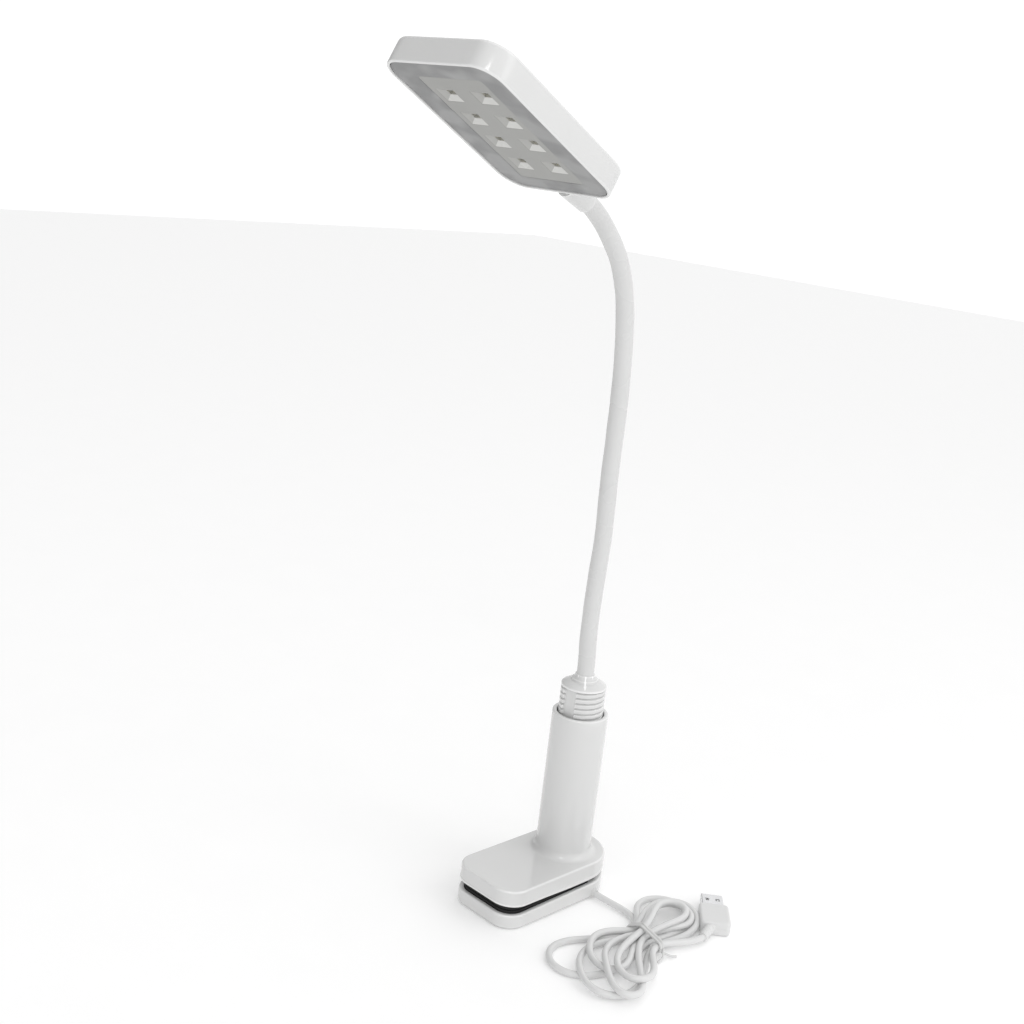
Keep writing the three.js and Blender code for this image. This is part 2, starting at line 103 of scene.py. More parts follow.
def arc(cx, cy, r, start, end, count):
    """Points on an arc, angles in degrees."""
    angles = np.radians(np.linspace(start, end, count))
    return [(cx + r * math.cos(a), cy + r * math.sin(a)) for a in angles]


def straight(a, b, count):
    """Points strictly between a and b."""
    return [tuple(np.add(a, np.multiply(np.subtract(b, a), k / (count + 1)))) for k in range(1, count + 1)]


def rounded(x0, x1, y0, y1, r, per_corner=10, sides=0):
    """A rectangle with round corners, anticlockwise from the middle of its x1 side."""
    corners = [
        arc(x1 - r, y1 - r, r, 0, 90, per_corner),
        arc(x0 + r, y1 - r, r, 90, 180, per_corner),
        arc(x0 + r, y0 + r, r, 180, 270, per_corner),
        arc(x1 - r, y0 + r, r, 270, 360, per_corner),
    ]
    points = []
    for i, corner in enumerate(corners):
        points += corner
        points += straight(corner[-1], corners[(i + 1) % 4][0], sides)
    return np.array(points)


def jaw_outline(inset, sides=26):
    """Half-round rear, straight sides, two round front corners."""
    half = JAW_HALF - inset
    r = JAW_CORNER - inset
    front = JAW_FRONT - JAW_CORNER
    upper = arc(front, JAW_HALF - JAW_CORNER, r, 0, 90, 14)
    rear = arc(JAW_REAR_X, 0, half, 90, 270, 46)
    lower = arc(front, JAW_CORNER - JAW_HALF, r, 270, 360, 14)
    points = upper + straight(upper[-1], rear[0], sides) + rear
    points += straight(rear[-1], lower[0], sides) + lower + straight(lower[-1], upper[0], 10)
    return np.array(points)


def raise_to(outline, z):
    """An outline as a ring at height z, which may be a function of x."""
    heights = [z(x) for x in outline[:, 0]] if callable(z) else np.full(len(outline), float(z))
    return np.column_stack([outline, heights])


def circle(r, z, count, centre=(0, 0)):
    angles = np.linspace(0, 2 * math.pi, count, endpoint=False)
    across, along = centre[0] + r * np.cos(angles), centre[1] + r * np.sin(angles)
    return np.column_stack([across, along, np.full(count, z)])


def skin(name, rings, caps=(True, True), wrap=False, crease=CREASE):
    """A mesh object over rings of equal length, given in millimetres."""
    count = len(rings[0])
    points = np.vstack(rings) * MM
    faces = []
    last = len(rings) if wrap else len(rings) - 1
    for i in range(last):
        a = i * count
        b = ((i + 1) % len(rings)) * count
        for k in range(count):
            m = (k + 1) % count
            faces.append((a + k, a + m, b + m, b + k))
    if caps[0] and not wrap:
        faces.append(tuple(reversed(range(count))))
    if caps[1] and not wrap:
        faces.append(tuple(range((len(rings) - 1) * count, len(rings) * count)))
    return mesh_object(name, points, faces, crease)


def mesh_object(name, points, faces, crease=CREASE):
    mesh = bpy.data.meshes.new(name)
    mesh.from_pydata([tuple(p) for p in points], [], faces)
    mesh.validate()
    mesh.update()
    mesh.shade_smooth()
    mesh.set_sharp_from_angle(angle=math.radians(crease))
    piece = bpy.data.objects.new(name, mesh)
    bpy.context.scene.collection.objects.link(piece)
    return piece


def outward(piece):
    """Makes the faces look outward."""
    work = bmesh.new()
    work.from_mesh(piece.data)
    bmesh.ops.recalc_face_normals(work, faces=work.faces)
    work.to_mesh(piece.data)
    work.free()
    return piece


def soften(piece, width, segments=2, angle=40):
    """A rounded edge on every corner sharper than the angle."""
    edge = piece.modifiers.new("edge", "BEVEL")
    edge.width = width * MM
    edge.segments = segments
    edge.limit_method = "ANGLE"
    edge.angle_limit = math.radians(angle)
    edge.harden_normals = True
    return piece


def join_pieces(name, pieces):
    """Several mesh objects as one."""
    bpy.ops.object.select_all(action="DESELECT")
    for piece in pieces:
        piece.select_set(True)
    bpy.context.view_layer.objects.active = pieces[0]
    bpy.ops.object.join()
    pieces[0].name = name
    pieces[0].data.name = name
    return pieces[0]


def cut_away(piece, tool):
    """Takes the tool's shape out of the piece."""
    hole = piece.modifiers.new("hole", "BOOLEAN")
    hole.operation = "DIFFERENCE"
    hole.solver = "EXACT"
    hole.object = tool
    evaluated = piece.evaluated_get(bpy.context.evaluated_depsgraph_get())
    cut = bpy.data.meshes.new_from_object(evaluated)
    piece.modifiers.clear()
    piece.data = cut
    piece.data.shade_smooth()
    piece.data.set_sharp_from_angle(angle=math.radians(CREASE))
    bpy.data.objects.remove(tool)
    return piece


def place(piece, matrix):
    """Moves the mesh itself, so that the object stays at the origin."""
    piece.data.transform(matrix)
    return piece


def on_head():
    """From the head's own frame, x along it from the neck end and z up through it, to the lamp's."""
    turn = Matrix.Rotation(-math.radians(HEAD_TILT), 4, "Y")
    return Matrix.Translation(Vector((HEAD_X, 0, HEAD_Z)) * MM) @ turn


def on_plug():
    """From the plug's own frame, x towards its metal end, to the lamp's."""
    at = Vector((PLUG_AT[0], PLUG_AT[1], 0)) * MM
    return Matrix.Translation(at) @ Matrix.Rotation(math.radians(PLUG_HEADING), 4, "Z")


# ---- materials
def node_material(name):
    material = bpy.data.materials.new(name)
    material.use_nodes = True
    tree = material.node_tree
    return material, tree, tree.nodes["Principled BSDF"]


def noise(tree, scale, detail=3.0, stretch=(1, 1, 1)):
    place_at = tree.nodes.new("ShaderNodeTexCoord")
    mapping = tree.nodes.new("ShaderNodeMapping")
    mapping.inputs["Scale"].default_value = stretch
    texture = tree.nodes.new("ShaderNodeTexNoise")
    texture.inputs["Scale"].default_value = scale
    texture.inputs["Detail"].default_value = detail
    tree.links.new(place_at.outputs["Object"], mapping.inputs["Vector"])
    tree.links.new(mapping.outputs["Vector"], texture.inputs["Vector"])
    return texture.outputs["Fac"]


def spread(tree, value, low, high, start=0.3, end=0.7):
    """Maps a noise value to a range."""
    node = tree.nodes.new("ShaderNodeMapRange")
    node.inputs["From Min"].default_value = start
    node.inputs["From Max"].default_value = end
    node.inputs["To Min"].default_value = low
    node.inputs["To Max"].default_value = high
    tree.links.new(value, node.inputs["Value"])
    return node.outputs["Result"]


def two_tone(tree, factor, dark, light):
    node = tree.nodes.new("ShaderNodeMix")
    node.data_type = "RGBA"
    node.inputs["A"].default_value = (*dark, 1)
    node.inputs["B"].default_value = (*light, 1)
    tree.links.new(factor, node.inputs["Factor"])
    return node.outputs["Result"]


def bump(tree, shader, height, strength, distance):
    node = tree.nodes.new("ShaderNodeBump")
    node.inputs["Strength"].default_value = strength
    node.inputs["Distance"].default_value = distance
    tree.links.new(height, node.inputs["Height"])
    tree.links.new(node.outputs["Normal"], shader.inputs["Normal"])


def surface_finish(name, dark, light, rough, grain, grain_size, metallic=0.0, coat=0.0, depth=0.00004):
    """A moulded or drawn surface: faint colour drift, uneven roughness and a fine grain."""
    material, tree, shader = node_material(name)
    drift = spread(tree, noise(tree, 28.0), 0.0, 1.0)
    tree.links.new(two_tone(tree, drift, dark, light), shader.inputs["Base Color"])
    tree.links.new(spread(tree, noise(tree, 60.0, 2.0), *rough), shader.inputs["Roughness"])
    bump(tree, shader, noise(tree, grain_size, 2.0), grain, depth)
    shader.inputs["Metallic"].default_value = metallic
    shader.inputs["Coat Weight"].default_value = coat
    shader.inputs["Coat Roughness"].default_value = 0.06
    return material


def frosted(name):
    """The diffuser: grey, partly the frosted sheet's own tone and partly painted shade on a face that looks
    down, with soft darker blocks painted as the shadow of what is behind it.
    """
    material, tree, shader = node_material(name)
    blocks = noise(tree, 84.0, 0.8, (1.0, 0.75, 1.0))
    painted_shadow = spread(tree, blocks, 0.0, 1.0, 0.4, 0.58)
    # Painted shade and shadow: the grey is partly painted shade, and its darker blocks are painted shadow.
    tone = two_tone(tree, painted_shadow, (0.24, 0.241, 0.242), (0.32, 0.321, 0.321))
    tree.links.new(tone, shader.inputs["Base Color"])
    tree.links.new(spread(tree, noise(tree, 140.0), 0.48, 0.6), shader.inputs["Roughness"])
    bump(tree, shader, noise(tree, 3200.0, 1.0), 0.08, 0.00003)
    return material


def wound_wire(name):
    """Steel wire wound in close turns along Z."""
    material, tree, shader = node_material(name)
    at = tree.nodes.new("ShaderNodeTexCoord")
    turns = tree.nodes.new("ShaderNodeTexWave")
    turns.bands_direction = "Z"
    turns.inputs["Scale"].default_value = 160.0
    turns.inputs["Distortion"].default_value = 0.4
    tree.links.new(at.outputs["Object"], turns.inputs["Vector"])
    # The dark and light bands along the turns are painted shade in the grooves and painted light on the
    # crests, over the wire's own steel colour.
    tone = two_tone(tree, turns.outputs["Fac"], (0.22, 0.22, 0.23), (0.6, 0.6, 0.61))
    tree.links.new(tone, shader.inputs["Base Color"])
    bump(tree, shader, turns.outputs["Fac"], 0.6, 0.0003)
    shader.inputs["Metallic"].default_value = 1.0
    shader.inputs["Roughness"].default_value = 0.32
    return material


def paint_edge_highlight(material, low=0.52, high=0.58):
    """Paints a highlight into the glossy plastic's colour, paler along its rounded edges where the surface
    curves sharply.
    """
    tree = material.node_tree
    shader = tree.nodes["Principled BSDF"]
    body = shader.inputs["Base Color"].links[0].from_socket
    form = tree.nodes.new("ShaderNodeNewGeometry")
    edge = spread(tree, form.outputs["Pointiness"], 0.0, 1.0, low, high)
    # Painted highlight: the colour turns paler where the surface is sharply curved.
    painted_highlight = two_tone(tree, edge, (0, 0, 0), (0.95, 0.95, 0.947))
    tree.links.new(body, painted_highlight.node.inputs["A"])
    tree.links.new(painted_highlight, shader.inputs["Base Color"])


# Darker tone, lighter tone, roughness range, grain strength, grain scale, further settings.
SURFACES = {
    "gloss_white": ((0.65, 0.651, 0.648), (0.664, 0.665, 0.661), (0.2, 0.24), 0.01, 2600.0, {"coat": 0.6}),
    "neck_white": ((0.628, 0.629, 0.626), (0.645, 0.645, 0.642), (0.24, 0.3), 0.03, 900.0, {}),
    "soft_white": ((0.64, 0.64, 0.636), (0.662, 0.662, 0.658), (0.42, 0.5), 0.04, 1800.0, {}),
    "cord_white": ((0.67, 0.671, 0.669), (0.7, 0.701, 0.699), (0.3, 0.38), 0.03, 1500.0, {"coat": 0.2}),
    "black_rubber": ((0.0022, 0.0022, 0.0024), (0.0045, 0.0045, 0.0047), (0.55, 0.7), 0.3, 1600.0, {}),
    "steel": ((0.42, 0.425, 0.43), (0.6, 0.605, 0.61), (0.2, 0.38), 0.15, 1300.0, {"metallic": 1.0}),
    "nickel": ((0.62, 0.63, 0.64), (0.78, 0.78, 0.79), (0.12, 0.25), 0.08, 1500.0, {"metallic": 1.0}),
    # The reflector panel's grey is partly its own tone and partly painted shade on a face that looks down.
    "panel_grey": ((0.3, 0.3, 0.288), (0.312, 0.312, 0.299), (0.34, 0.4), 0.02, 2400.0, {}),
    "board_white": ((0.7, 0.71, 0.7), (0.8, 0.81, 0.79), (0.4, 0.5), 0.1, 900.0, {}),
    "board_green": ((0.012, 0.09, 0.035), (0.02, 0.14, 0.06), (0.35, 0.5), 0.15, 900.0, {}),
    "led_yellow": ((0.62, 0.5, 0.12), (0.75, 0.62, 0.2), (0.3, 0.4), 0.1, 2500.0, {}),
    "black_plastic": ((0.012, 0.012, 0.013), (0.022, 0.022, 0.024), (0.35, 0.5), 0.2, 1400.0, {}),
    # The next three rows are lit and shaded copies of the reflector colour for the wells: a painted highlight
    # on one facet of each well, paler painted light on a second facet, and a paler copy on the deep shaft
    # walls as painted light.
    "facet_painted_light": ((0.64, 0.64, 0.62), (0.68, 0.68, 0.66), (0.22, 0.3), 0.02, 2400.0, {}),
    "facet_painted_half_light": ((0.41, 0.41, 0.395), (0.43, 0.43, 0.415), (0.3, 0.4), 0.02, 2400.0, {}),
    "shaft_painted_light": ((0.5, 0.5, 0.47), (0.56, 0.56, 0.53), (0.35, 0.5), 0.05, 2400.0, {}),
}
FINISH = {name: surface_finish(name, *row[:-1], **row[-1]) for name, row in SURFACES.items()}
# The glossy white gets a painted highlight along its rounded edges.
paint_edge_highlight(FINISH["gloss_white"])
FINISH["frosted_grey"] = frosted("frosted_grey")
FINISH["wound_wire"] = wound_wire("wound_wire")


def dress(piece, finish, body=None, replaces=()):
    """Gives a piece its material, its body and the CAD nodes that it stands for."""
    piece.data.materials.clear()
    piece.data.materials.append(FINISH[finish])
    if body:
        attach(piece, body)
    if replaces:
        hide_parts(*replaces)
    return piece


# ---- camera, light and floor
CAMERA_AT = (0.5456, 0.4594, 0.3990)
CAMERA_YAW = 224.06
CAMERA_PITCH = 14.79
CAMERA_ROLL = 6.52
CAMERA_LENS = 49.334
SENSOR_WIDTH = 36.0
SKY_DIM_SIDE = (0.42, -0.91, 0.0)
SKY_STOPS = ((0.76, 0.56), (0.88, 0.3), (1.0, 0.2))
SKY_STRENGTH = 1.05
BACKDROP_STRENGTH = 1.1
FLOOR_HALF = 4.0
FLOOR_Z_M = -0.0001
FLOOR_GLOW = 0.14


def set_camera():
    yaw, pitch, roll = (math.radians(a) for a in (CAMERA_YAW, CAMERA_PITCH, CAMERA_ROLL))
    ahead = Vector((math.cos(pitch) * math.cos(yaw), math.cos(pitch) * math.sin(yaw), -math.sin(pitch)))
    level = ahead.cross(Vector((0, 0, 1))).normalized()
    upright = level.cross(ahead)
    right = level * math.cos(roll) + upright * math.sin(roll)
    up = upright * math.cos(roll) - level * math.sin(roll)
    lens = bpy.data.cameras.new("camera")
    lens.lens = CAMERA_LENS
    lens.sensor_width = SENSOR_WIDTH
    lens.clip_start = 0.01
    camera = bpy.data.objects.new("camera", lens)
    camera.matrix_world = Matrix((
        (right.x, up.x, -ahead.x, CAMERA_AT[0]),
        (right.y, up.y, -ahead.y, CAMERA_AT[1]),
        (right.z, up.z, -ahead.z, CAMERA_AT[2]),
        (0, 0, 0, 1),
    ))
    bpy.context.scene.collection.objects.link(camera)
    bpy.context.scene.camera = camera


def area_light(name, at, target, size, power):
    lamp = bpy.data.lights.new(name, "AREA")
    lamp.shape = "RECTANGLE"
    lamp.size, lamp.size_y = size
    lamp.energy = power
    light = bpy.data.objects.new(name, lamp)
    light.location = at
    light.rotation_euler = (Vector(target) - Vector(at)).to_track_quat("-Z", "Y").to_euler()
    bpy.context.scene.collection.objects.link(light)


def set_light():
    """A studio sky that dims towards one side, a plain backdrop, and two soft lamps."""
    world = bpy.data.worlds.new("studio")
    world.use_nodes = True
    back = world.node_tree.nodes["Background"]
    at = world.node_tree.nodes.new("ShaderNodeTexCoord")
    across = world.node_tree.nodes.new("ShaderNodeVectorMath")
    across.operation = "DOT_PRODUCT"
    across.inputs[1].default_value = SKY_DIM_SIDE
    fall = world.node_tree.nodes.new("ShaderNodeValToRGB")
    stops = fall.color_ramp.elements
    stops[0].position, stops[0].color = 0.0, (1, 1, 1, 1)
    stops[1].position, stops[1].color = 0.6, (1, 1, 1, 1)
    for position, level in SKY_STOPS:
        stop = stops.new(position)
        stop.color = (level, level, level, 1)
    shift = world.node_tree.nodes.new("ShaderNodeMapRange")
    shift.inputs["From Min"].default_value = -1.0
    links = world.node_tree.links
    links.new(at.outputs["Generated"], across.inputs[0])
    links.new(across.outputs["Value"], shift.inputs["Value"])
    links.new(shift.outputs["Result"], fall.inputs["Fac"])
    links.new(fall.outputs["Color"], back.inputs["Color"])
    back.inputs["Strength"].default_value = SKY_STRENGTH
    plain = world.node_tree.nodes.new("ShaderNodeBackground")
    plain.inputs["Color"].default_value = (1, 1, 1, 1)
    plain.inputs["Strength"].default_value = BACKDROP_STRENGTH
    seen = world.node_tree.nodes.new("ShaderNodeLightPath")
    either = world.node_tree.nodes.new("ShaderNodeMixShader")
    links.new(seen.outputs["Is Camera Ray"], either.inputs[0])
    links.new(back.outputs["Background"], either.inputs[1])
    links.new(plain.outputs["Background"], either.inputs[2])
    links.new(either.outputs["Shader"], world.node_tree.nodes["World Output"].inputs["Surface"])
    bpy.context.scene.world = world
    area_light("key", (-0.45, 1.15, 1.0), (0.0, 0.0, 0.2), (0.7, 1.1), 2.2)
    area_light("fill", (0.95, 0.8, 1.15), (0.0, 0.0, 0.05), (0.26, 0.4), 2.1)
    bpy.context.scene.view_settings.view_transform = "Standard"


def set_floor():
    corners = ((-1, -1), (1, -1), (1, 1), (-1, 1))
    points = [(FLOOR_HALF * a, FLOOR_HALF * b, FLOOR_Z_M) for a, b in corners]
    floor = mesh_object("floor", points, [(0, 1, 2, 3)])
    pale = surface_finish("floor_pale", (0.88, 0.88, 0.88), (0.89, 0.89, 0.89), (0.85, 0.9), 0.01, 600.0)
    shader = pale.node_tree.nodes["Principled BSDF"]
    shader.inputs["Emission Color"].default_value = (1, 1, 1, 1)
    shader.inputs["Emission Strength"].default_value = FLOOR_GLOW
    floor.data.materials.append(pale)


set_camera()
set_light()
set_floor()


# ---- the lead
def smooth_line(points, per_span=16):
    """A centripetal Catmull-Rom curve through the points."""
    points = np.array(points, float)
    padded = np.vstack([2 * points[0] - points[1], points, 2 * points[-1] - points[-2]])
    out = []
    for i in range(len(points) - 1):
        p = padded[i:i + 4]
        t = np.concatenate([[0], np.cumsum(np.linalg.norm(np.diff(p, axis=0), axis=1) ** 0.5)])
        u = np.linspace(t[1], t[2], per_span, endpoint=False)[:, None]

        def mix(low, high, start, end):
            return (t[high] - u) / (t[high] - t[low]) * start + (u - t[low]) / (t[high] - t[low]) * end
        a = [mix(k, k + 1, p[k], p[k + 1]) for k in range(3)]
        b = [mix(k, k + 2, a[k], a[k + 1]) for k in range(2)]
        out.append(mix(1, 2, b[0], b[1]))
    return np.vstack(out + [points[-1:]])


def evenly(line, step):
    """The same line with a point every step."""
    along = np.concatenate([[0], np.cumsum(np.linalg.norm(np.diff(line, axis=0), axis=1))])
    at = np.linspace(0, along[-1], int(round(along[-1] / step)) + 1)
    return np.stack([np.interp(at, along, line[:, k]) for k in range(3)], 1)


TIE_X = 8.0
TIE_ROWS = (1.85, 4.95, 8.05)
LYING_Z = CORD_D / 2 + 0.05
STEEPEST = 0.62
SAG = 0.12


def at_tie(y, row):
    return [(TIE_X, y, TIE_ROWS[row])]


def flat(*points):
    return [(x, y, LYING_Z) for x, y in points]


# The lead leaves the lower jaw, makes five open loops on each side of the tie, and ends in the plug.
LEAD_ROUTE = (
    [(-4.6, 18.5, 3.2), CORD_EXIT, (-4.9, 30, 2.7), (-5.6, 37, 2.0)]
    + flat((-6.4, 43.5), (-6.2, 50), (-1.2, 57.0))
    + at_tie(60.4, 0)
    + flat(
        (19, 57.5), (30, 52), (41, 46), (52, 45), (60.5, 50.5),
        (64.4, 59.5), (62, 69), (53.5, 76), (41, 78.6), (24, 76.5),
    )
    + at_tie(72.4, 0)
    + flat((-9, 74.5), (-24, 74), (-35, 67), (-38, 56), (-33, 47), (-23, 43.8), (-12.5, 47), (-3, 56))
    + at_tie(64.4, 0)
    + flat(
        (21, 60.4), (35, 57.5), (48, 61.5), (58, 70), (64, 80),
        (63.5, 90), (56.5, 96.8), (45.5, 97), (33, 91.5), (20, 82.5),
    )
    + at_tie(76.4, 0)
    + flat((-6, 79), (-19, 80.5), (-31, 76), (-36.5, 66.5), (-34, 57), (-25, 52.6), (-13.5, 54), (-3, 59))
    + at_tie(62.4, 1)
    + flat(
        (15.5, 58.2), (23, 54.8), (31, 55.2), (39.5, 59.5), (46, 66),
        (49.5, 74), (47, 81.5), (39.5, 84), (30.5, 80), (20, 73),
    )
    + at_tie(68.4, 0)
    + flat(
        (-6, 70.5), (-16, 76.2), (-26.5, 75.5), (-32.4, 67.5),
        (-30.3, 59), (-22.3, 56), (-12, 58), (-2, 63),
    )
    + at_tie(66.4, 1)
    + flat(
        (21, 64.4), (32, 66), (42, 72), (50, 81), (57.5, 91.5),
        (59.3, 99), (54, 104.8), (46.5, 102.5), (37, 92.5), (22.5, 78.5),
    )
    + at_tie(70.4, 1)
    + flat(
        (-6.5, 72), (-15, 74.2), (-23.8, 73.4), (-29.2, 67.4),
        (-27.3, 60.4), (-20.3, 58), (-11.5, 60.6), (-2, 65.6),
    )
    + at_tie(68.4, 2)
    + flat(
        (20, 71), (30, 73.5), (39, 78), (46.3, 84.5), (49.3, 92.5),
        (46, 99.8), (38, 100), (27, 93), (18.5, 84), (13.5, 80.8),
    )
    + at_tie(79.2, 1)
    + flat((2, 80.6), (-5.5, 84.6))
    + [(-16, 88.6, 2.2), (-24.5, 87, 3.4), (-30.6, 84.2, 4.1)]
)


def limit_bend(line, gap, step, radius, share):
    """Opens every bend tighter than the radius, measured over points that far apart."""
    curve = line[2 * gap:] + line[:-2 * gap] - 2 * line[gap:-gap]
    size = np.linalg.norm(curve, axis=1) + 1e-9
    over = np.maximum(size - (gap * step) ** 2 / radius, 0)
    move = curve * (over / size / 6 * share)[:, None]
    line[gap:-gap] += 2 * move
    line[2 * gap:] -= move
    line[:-2 * gap] -= move


def lay_over(line, tied, low, high):
    """Lays one strand over all the ones before it, in long low humps, and returns its heights."""
    z = line[low:high, 2].copy()
    floor = np.full(high - low, CORD_D / 2)
    from_tie = np.abs(line[low:high, 0] - TIE_X)
    for i in range(max(low, 12), high):
        apart = ((line[:i - 8, :2] - line[i, :2]) ** 2).sum(1)
        near = apart < CORD_D ** 2
        if near.any():
            over = (line[:i - 8, 2][near] + np.sqrt(CORD_D ** 2 - apart[near])).max()
            share = min(1.0, max(0.0, (from_tie[i - low] - 2.0) / 8.0))
            floor[i - low] = max(floor[i - low], z[i - low] + (over - z[i - low]) * share)
    fixed = tied[low:high].copy()
    fixed[:1] |= low == 0
    kept = z.copy()
    z = np.maximum(z, floor)
    for _ in range(60):
        for k in range(1, len(z)):
            z[k] = max(z[k], z[k - 1] - STEEPEST)
        for k in range(len(z) - 2, -1, -1):
            z[k] = max(z[k], z[k + 1] - STEEPEST)
        z[fixed] = kept[fixed]
        for _ in range(6):
            z[1:-1] = (z[:-2] + 2 * z[1:-1] + z[2:]) / 4
            z[fixed] = kept[fixed]
        z += np.clip(floor - SAG - z, 0, None) * 0.7
        z[fixed] = kept[fixed]
    for _ in range(3):
        z[1:-1] = (z[:-2] + 2 * z[1:-1] + z[2:]) / 4
    return z


def lay_lead(radius=7.8):
    """The lead in its loops: no tight bends seen from above, each strand resting on those below it."""
    line = evenly(smooth_line(LEAD_ROUTE), 2.0)
    count = len(line)
    step = np.linalg.norm(np.diff(line, axis=0), axis=1).mean()
    held = np.zeros(count, bool)
    held[:4] = True
    held[-3:] = True
    tied = (np.abs(line[:, 0] - TIE_X) < 1.2) & (line[:, 1] > 58) & (line[:, 1] < 79)
    slots = line[tied].copy()
    ends = line[held].copy()
    heights = line[:, 2].copy()
    for turn in range(160):
        if turn % 12 == 0:
            line[1:-1, :2] = line[1:-1, :2] * 0.5 + (line[:-2, :2] + line[2:, :2]) * 0.25
        for gap in (3, 5):
            limit_bend(line, gap, step, radius, 0.5)
        line[held] = ends
        line[tied, 1] += (slots[:, 1] - line[tied, 1]) * 0.5
    line[:, 2] = heights
    starts = [0] + [k for k in range(1, count) if tied[k] and not tied[k - 1]] + [count]
    for low, high in zip(starts[:-1], starts[1:]):
        last = min(count, high + 3)
        line[low:last, 2] = lay_over(line, tied, low, last)
    line[held, 2] = ends[:, 2]
    return line


def tube_curve(name, line, diameter):
    """A round cord as a curve of one open spline, given in millimetres."""
    data = bpy.data.curves.new(name, "CURVE")
    data.dimensions = "3D"
    data.bevel_depth = diameter / 2 * MM
    data.bevel_resolution = 6
    data.use_fill_caps = True
    spline = data.splines.new("POLY")
    spline.points.add(len(line) - 1)
    for point, at in zip(spline.points, line):
        point.co = (*(at * MM), 1)
    spline.use_smooth = True
    piece = bpy.data.objects.new(name, data)
    bpy.context.scene.collection.objects.link(piece)
    return piece


def frames_along(line):
    """Two unit vectors across the line at each point, carried along it without twist."""
    tangents = np.gradient(line, axis=0)
    tangents /= np.linalg.norm(tangents, axis=1)[:, None]
    across = np.cross(tangents[0], (0.0, 0.0, 1.0))
    if np.linalg.norm(across) < 0.2:
        across = np.cross(tangents[0], (0.0, 1.0, 0.0))
    sides = []
    for t in tangents:
        across = across - t * across.dot(t)
        across = across / np.linalg.norm(across)
        sides.append(across)
    sides = np.array(sides)
    return tangents, sides, np.cross(tangents, sides)


def tube(name, line, radii, sides=24, caps=(True, True)):
    """A mesh tube along a line, with a radius for each point."""
    _, a, b = frames_along(line)
    angles = np.linspace(0, 2 * math.pi, sides, endpoint=False)
    rings = [
        p + r * (np.outer(np.cos(angles), u) + np.outer(np.sin(angles), v))
        for p, r, u, v in zip(line, radii, a, b)
    ]
    return skin(name, rings, caps)


lead_line = lay_lead()
lead = tube_curve("lead", evenly(smooth_line(lead_line[::2], 6), 1.0), CORD_D)
dress(lead, "cord_white", "lower_jaw", ("cord_lead", "cord_bundle", "cord_tail"))


def hull_around(points, margin):
    """The closed outline a wire takes when it is pulled round a bunch of cords, in the Y and Z plane."""
    angles = np.radians(np.arange(0, 360, 6))
    rim = np.vstack([points + margin * np.array([math.cos(a), math.sin(a)]) for a in angles])
    middle = rim.mean(0)
    corners = []
    for a in angles:
        away = np.array([math.cos(a), math.sin(a)])
        corners.append(rim[np.argmax((rim - middle) @ away)])
    return np.array(corners)


def make_tie():
    """A coated wire wound twice round the waist of the bundle, its two ends crossed and left lying."""
    waist = lead_line[np.abs(lead_line[:, 0] - TIE_X) < 1.6][:, 1:]
    ring = hull_around(waist, CORD_D / 2 + 0.85)
    ring[:, 1] = np.maximum(ring[:, 1], 0.8)
    pieces = []
    for shift, lean in ((-1.0, 1.2), (1.0, 0.7)):
        x = TIE_X + shift + lean * np.cos(np.radians(np.arange(0, 360, 6)))
        loop = np.column_stack([x, ring])
        loop = evenly(smooth_line(np.vstack([loop, loop[:1]]), 3), 0.8)
        loop[-1] = loop[0]
        pieces.append(tube("tie_band", loop, np.full(len(loop), 0.8), 14))
    side = ring[:, 0].max()
    ends = (
        ((TIE_X + 1.6, side - 0.2, 3.4), (2.6, side + 5.4, 0.75)),
        ((TIE_X - 0.6, side - 0.2, 4.6), (15.2, side + 3.4, 0.75)),
    )
    for start, end in ends:
        knee = (np.add(start, end) / 2) + (0, 1.6, -0.4)
        knee[2] = max(knee[2], 1.3)
        line = evenly(smooth_line([start, tuple(knee), end], 16), 0.5)
        pieces.append(tube("tie_end", line, np.full(len(line), 0.6), 12))
    return outward(join_pieces("tie_wire", pieces))


tie = make_tie()
dress(tie, "soft_white", "lower_jaw", ("twist_tie",))


def make_gland():
    """A small tapered sleeve where the lead leaves the jaw."""
    profile = [
        (2.9, -4.8), (2.9, -3.7), (2.4, -3.6), (2.4, 0.1), (2.38, 0.3), (2.33, 0.5), (2.27, 0.8), (2.2, 1.15),
        (2.12, 1.45), (2.03, 1.62), (1.93, 1.65), (1.93, -4.8),
    ]
    rings = [circle(r, h, 40) for r, h in profile]
    gland = skin("lead_gland", rings, wrap=True)
    turn = Matrix.Rotation(-math.pi / 2, 4, "X")
    return place(outward(gland), Matrix.Translation(Vector(GLAND_AT) * MM) @ turn)


gland = make_gland()
dress(gland, "soft_white", "lower_jaw", ("cord_gland",))


# ---- USB plug
def slab(outline, profile):
    """Rings of one outline at (inset, height) steps."""
    return [raise_to(outline(inset), z) for inset, z in profile]


